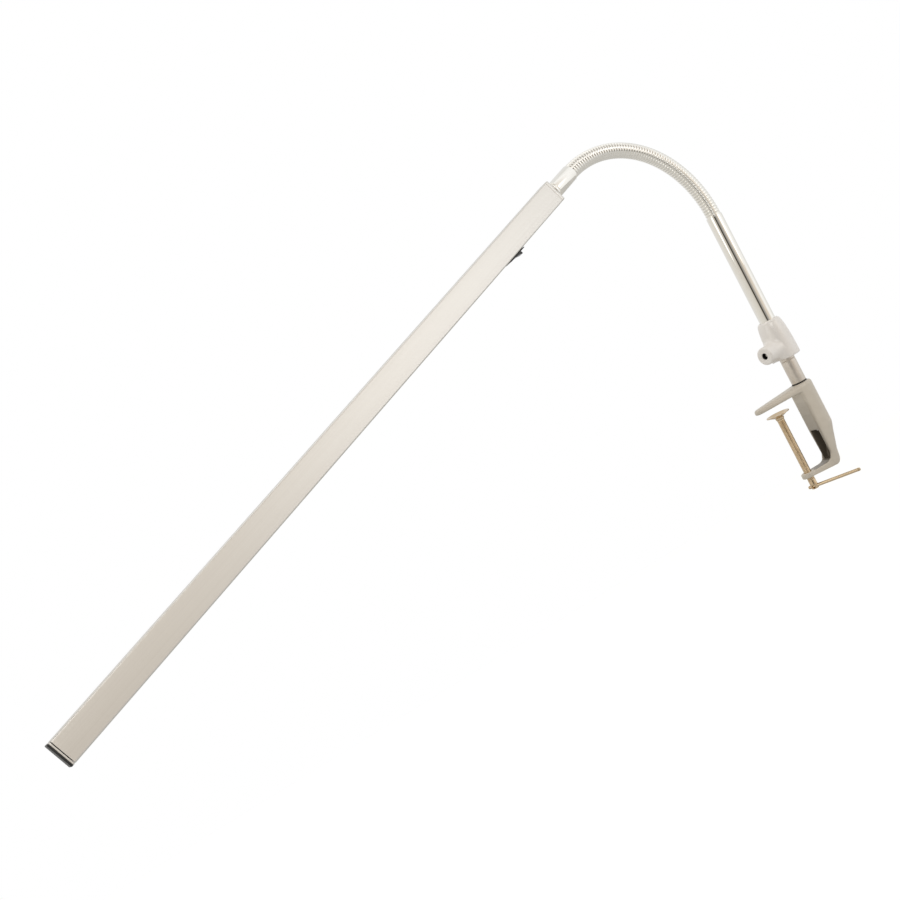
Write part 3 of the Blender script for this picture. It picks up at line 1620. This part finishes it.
@dataclass
class RockerSwitch:
    """The black rocker switch in the bar's underside."""

    kit: Kit
    bezel_h: float = 0.6
    bezel_r: float = 0.8
    bezel_ease: float = 0.28
    house_end: float = 1.0  # how far the housing steps in from the bezel
    house_side: float = 1.1
    well_d: float = 5.4
    well_end: float = 0.9  # room past either end of the rocker
    well_side: float = 1.85
    key_w: float = 6.8
    key_side: float = 0.6
    key_skirt: float = 2.6  # how far the rocker's ends stand out from its pivot
    key_end: float = 0.2
    key_steps: int = 25
    belly_half: float = 2.2
    belly: float = 1.8  # how far it reaches in behind its pivot
    hollow: float = 0.3
    ridge: float = 0.35
    edge: float = 0.22

    def build(self) -> None:
        """Make the switch's body and its rocker."""
        self.body()
        self.rocker()

    def body(self) -> None:
        """The bezel and the housing behind it, with the rocker's well cut into both."""
        layout = self.kit.layout
        bar = layout.bar
        low, high = bar.span(layout.nodes["switch_body"])
        mid = (low[0] + high[0]) / 2
        down = bar.moved(x=mid, z=low[2]).along_y()
        length, width = high[0] - low[0], high[1] - low[1]
        rocker = layout.rocker.span(layout.nodes["switch_rocker"])
        half = max(-rocker[0][0], rocker[1][0])
        bezel = carried("switch_bezel", round_rect(length, width, self.bezel_r),
                        near_end(0, self.bezel_ease) + [(self.bezel_h, 0)], down)
        carved(bezel, [self.well(down, half, width)])
        self.kit.put(bezel, Look.BLACK, bar, "head", "switch_body")
        house = carried("switch_housing",
                        round_rect(length - 2 * self.house_end, width - 2 * self.house_side,
                                   0.3, 3),
                        [(self.bezel_h, 0), (high[2] - low[2] - self.house_end, 0)], down)
        carved(house, [self.well(down, half, width)])
        self.kit.put(house, Look.BLACK, bar, "head")

    def well(self, down: Place, half: float, width: float) -> bpy.types.Object:
        """The block of air that the rocker moves in."""
        room = round_rect(2 * (half + self.well_end), width - 2 * self.well_side, 0.2, 3)
        return carried("cut_well", room, [(-OVER, 0), (self.well_d + self.bezel_h, 0)], down)

    def rocker(self) -> None:
        """The rocker: two shallow hollows that meet in a ridge, with rounded edges.

        Its outline runs along x. With u from -1 to 1 along it, the outer face stands at
        v = -top + hollow * (1 - (2|u| - 1)^2) + ridge * (1 - |u|), and is carried across the
        switch.
        """
        layout = self.kit.layout
        place = layout.rocker
        low, high = place.span(layout.nodes["switch_rocker"])
        half, top = high[0], -low[2]
        u = np.linspace(-1, 1, self.key_steps)
        dip = self.hollow * (1 - (2 * np.abs(u) - 1) ** 2) + self.ridge * (1 - np.abs(u))
        face = np.stack([half * u, -top + dip], 1)
        end, belly = half - self.key_end, self.belly_half
        under = np.array([[end, -self.key_skirt], [belly, self.belly], [-belly, self.belly],
                          [-end, -self.key_skirt]])
        loop = np.concatenate([face, under])
        reach = min(high[1] - low[1] - 2 * self.key_side, self.key_w) / 2
        obj = carried("rocker_key", fixed(loop[:, ::-1]), [(-reach, 0), (reach, 0)],
                      place.along_x())
        bevelled(obj, self.edge)
        self.kit.put(obj, Look.GLOSS, place, "rocker", "switch_rocker")


# ---------------------------------------------------------------------------------------------
# Studio
# ---------------------------------------------------------------------------------------------


@dataclass
class Studio:
    """A plain white room: floor, soft lamps, the walls round them and the camera."""

    eye: tuple[float, float, float] = (-0.53403, -0.92838, 0.14639)
    heading: float = -16.07
    pitch: float = -2.813
    roll: float = -28.03
    lens: float = 50.0
    floor_drop: float = 0.30
    floor_size: float = 3.0
    floor_tone: Colour = (0.55, 0.55, 0.54)
    floor_glow: float = 0.6
    floor_gleam: float = 0.1
    walls: float = 0.8

    def build(self) -> None:
        """Make the room."""
        self.camera()
        self.floor()
        self.sky()
        self.lamps()

    def floor(self) -> None:
        """The pale floor, well below the hanging lamp; it keeps the lamp's shadow.

        It glows for the rays that are seen, and faintly for those that are mirrored or let
        through, so that the lit floor looks as white as the walls and its shade stays darker.
        """
        low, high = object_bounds()
        centre, half = (low + high) / 2, self.floor_size / 2
        z = low.z - self.floor_drop
        corners = np.array([[-half, -half, 0], [half, -half, 0], [half, half, 0],
                            [-half, half, 0]]) + [centre.x, centre.y, z]
        mesh = bpy.data.meshes.new("floor")
        mesh.from_pydata(corners.tolist(), [], [[0, 1, 2, 3]])
        floor = bpy.data.objects.new("floor", mesh)
        bpy.context.scene.collection.objects.link(floor)
        tree = Tree("floor")
        tree.set(Base_Color=self.floor_tone, Roughness=1.0, Emission_Color=(1.0, 1.0, 1.0))
        path = tree.nodes.new("ShaderNodeLightPath")
        total: bpy.types.NodeSocket | None = None
        for ray, glow in (("Is Camera Ray", self.floor_glow), ("Is Glossy Ray", self.floor_gleam),
                          ("Is Transmission Ray", self.floor_gleam)):
            step = tree.nodes.new("ShaderNodeMath")
            step.operation = "MULTIPLY_ADD"
            step.inputs[1].default_value = glow
            step.inputs[2].default_value = 0.0
            tree.links.new(path.outputs[ray], step.inputs[0])
            if total is not None:
                tree.links.new(total, step.inputs[2])
            total = step.outputs[0]
        tree.links.new(total, tree.shader.inputs["Emission Strength"])
        floor.data.materials.append(tree.material)
        floor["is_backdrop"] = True

    def sky(self) -> None:
        """The room's own light: white where it is looked at, in tones for everything else."""
        world = bpy.data.worlds.new("room")
        bpy.context.scene.world = world
        world.use_nodes = True
        nodes, links = world.node_tree.nodes, world.node_tree.links
        nodes.clear()
        out = nodes.new("ShaderNodeOutputWorld")
        mix = nodes.new("ShaderNodeMixShader")
        seen = nodes.new("ShaderNodeBackground")
        seen.inputs["Color"].default_value = (1, 1, 1, 1)
        seen.inputs["Strength"].default_value = 1.0
        room = nodes.new("ShaderNodeBackground")
        room.inputs["Strength"].default_value = self.walls
        coord = nodes.new("ShaderNodeTexCoord")
        turn = nodes.new("ShaderNodeMapping")
        turn.inputs["Rotation"].default_value = (0, 0, math.radians(-self.heading))
        round_about = nodes.new("ShaderNodeTexGradient")
        round_about.gradient_type = "RADIAL"
        ramp = nodes.new("ShaderNodeValToRGB")
        self.wall_tones(ramp.color_ramp)
        path = nodes.new("ShaderNodeLightPath")
        links.new(coord.outputs["Generated"], turn.inputs["Vector"])
        links.new(turn.outputs[0], round_about.inputs["Vector"])
        links.new(round_about.outputs["Fac"], ramp.inputs["Fac"])
        links.new(ramp.outputs["Color"], room.inputs["Color"])
        links.new(path.outputs["Is Camera Ray"], mix.inputs["Fac"])
        links.new(room.outputs[0], mix.inputs[1])
        links.new(seen.outputs[0], mix.inputs[2])
        links.new(mix.outputs[0], out.inputs["Surface"])

    def wall_tones(self, ramp: bpy.types.ColorRamp) -> None:
        """The walls' tones round the room.

        The ramp's place is 0.5 + angle / 360 for an angle counted leftwards from the view's own
        right, so 0.25 is behind the one who looks and 0.75 is straight ahead.

        Args:
            ramp: the ramp to fill.
        """
        tones = [(0.0, (0.92, 0.89, 0.83)), (0.13, (0.85, 0.82, 0.76)),
                 (0.185, (0.72, 0.67, 0.6)), (0.2, (0.07, 0.065, 0.05)),
                 (0.235, (0.07, 0.065, 0.05)), (0.25, (0.39, 0.37, 0.345)),
                 (0.295, (0.54, 0.51, 0.475)), (0.315, (0.84, 0.76, 0.66)),
                 (0.365, (0.9, 0.81, 0.7)), (0.44, (1.25, 1.25, 1.25)), (0.52, (1.1, 1.1, 1.08)),
                 (0.6, (0.95, 0.95, 0.93)), (0.75, (1.0, 1.0, 1.0)), (1.0, (0.92, 0.89, 0.83))]
        while len(ramp.elements) < len(tones):
            ramp.elements.new(0.5)
        for element, (position, tone) in zip(ramp.elements, tones):
            element.position = position
            element.color = (*tone, 1)

    def lamps(self) -> None:
        """Soft lamps: above, over the one who looks, and on either side."""
        low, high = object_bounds()
        aim = (low + high) / 2
        for name, where, size, power in (
                ("lamp_top", (-0.2, 0.2, 1.6), 1.4, 2.4),
                ("lamp_front", (-0.3, -1.75, 0.95), 1.0, 4.6),
                ("lamp_right", (1.4, -1.65, 0.5), 1.0, 1.6),
                ("lamp_left", (-1.6, -0.6, 0.5), 0.9, 1.6)):
            data = bpy.data.lights.new(name, "AREA")
            data.shape, data.size, data.energy = "DISK", size, power
            lamp = bpy.data.objects.new(name, data)
            lamp.location = aim + Vector(where)
            lamp.rotation_euler = (-Vector(where)).to_track_quat("-Z", "Y").to_euler()
            bpy.context.scene.collection.objects.link(lamp)

    def camera(self) -> None:
        """The camera, at eye level with the bar and turned about its own axis."""
        data = bpy.data.cameras.new("camera")
        data.lens, data.sensor_width = self.lens, 36.0
        data.clip_start, data.clip_end = 0.05, 60.0
        camera = bpy.data.objects.new("camera", data)
        spin = (Matrix.Rotation(math.radians(self.heading), 4, "Z")
                @ Matrix.Rotation(math.radians(90 + self.pitch), 4, "X")
                @ Matrix.Rotation(math.radians(self.roll), 4, "Z"))
        camera.matrix_world = Matrix.Translation(self.eye) @ spin
        bpy.context.scene.collection.objects.link(camera)
        bpy.context.scene.camera = camera


def main() -> None:
    """Build the lamp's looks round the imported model."""
    logging.basicConfig(level=logging.INFO, format="%(name)s %(message)s")
    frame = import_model()
    bpy.context.scene.view_settings.view_transform = "Standard"
    kit = Kit(Layout.read(frame))
    for part in (ClampFrame(kit), ClampScrew(kit), Stem(kit), Gooseneck(kit), Ferrule(kit),
                 LightBar(kit), RockerSwitch(kit)):
        part.build()
        log.info("%s done", type(part).__name__)
    kit.dress_nodes()
    Studio().build()


if __name__ == "__main__":
    main()
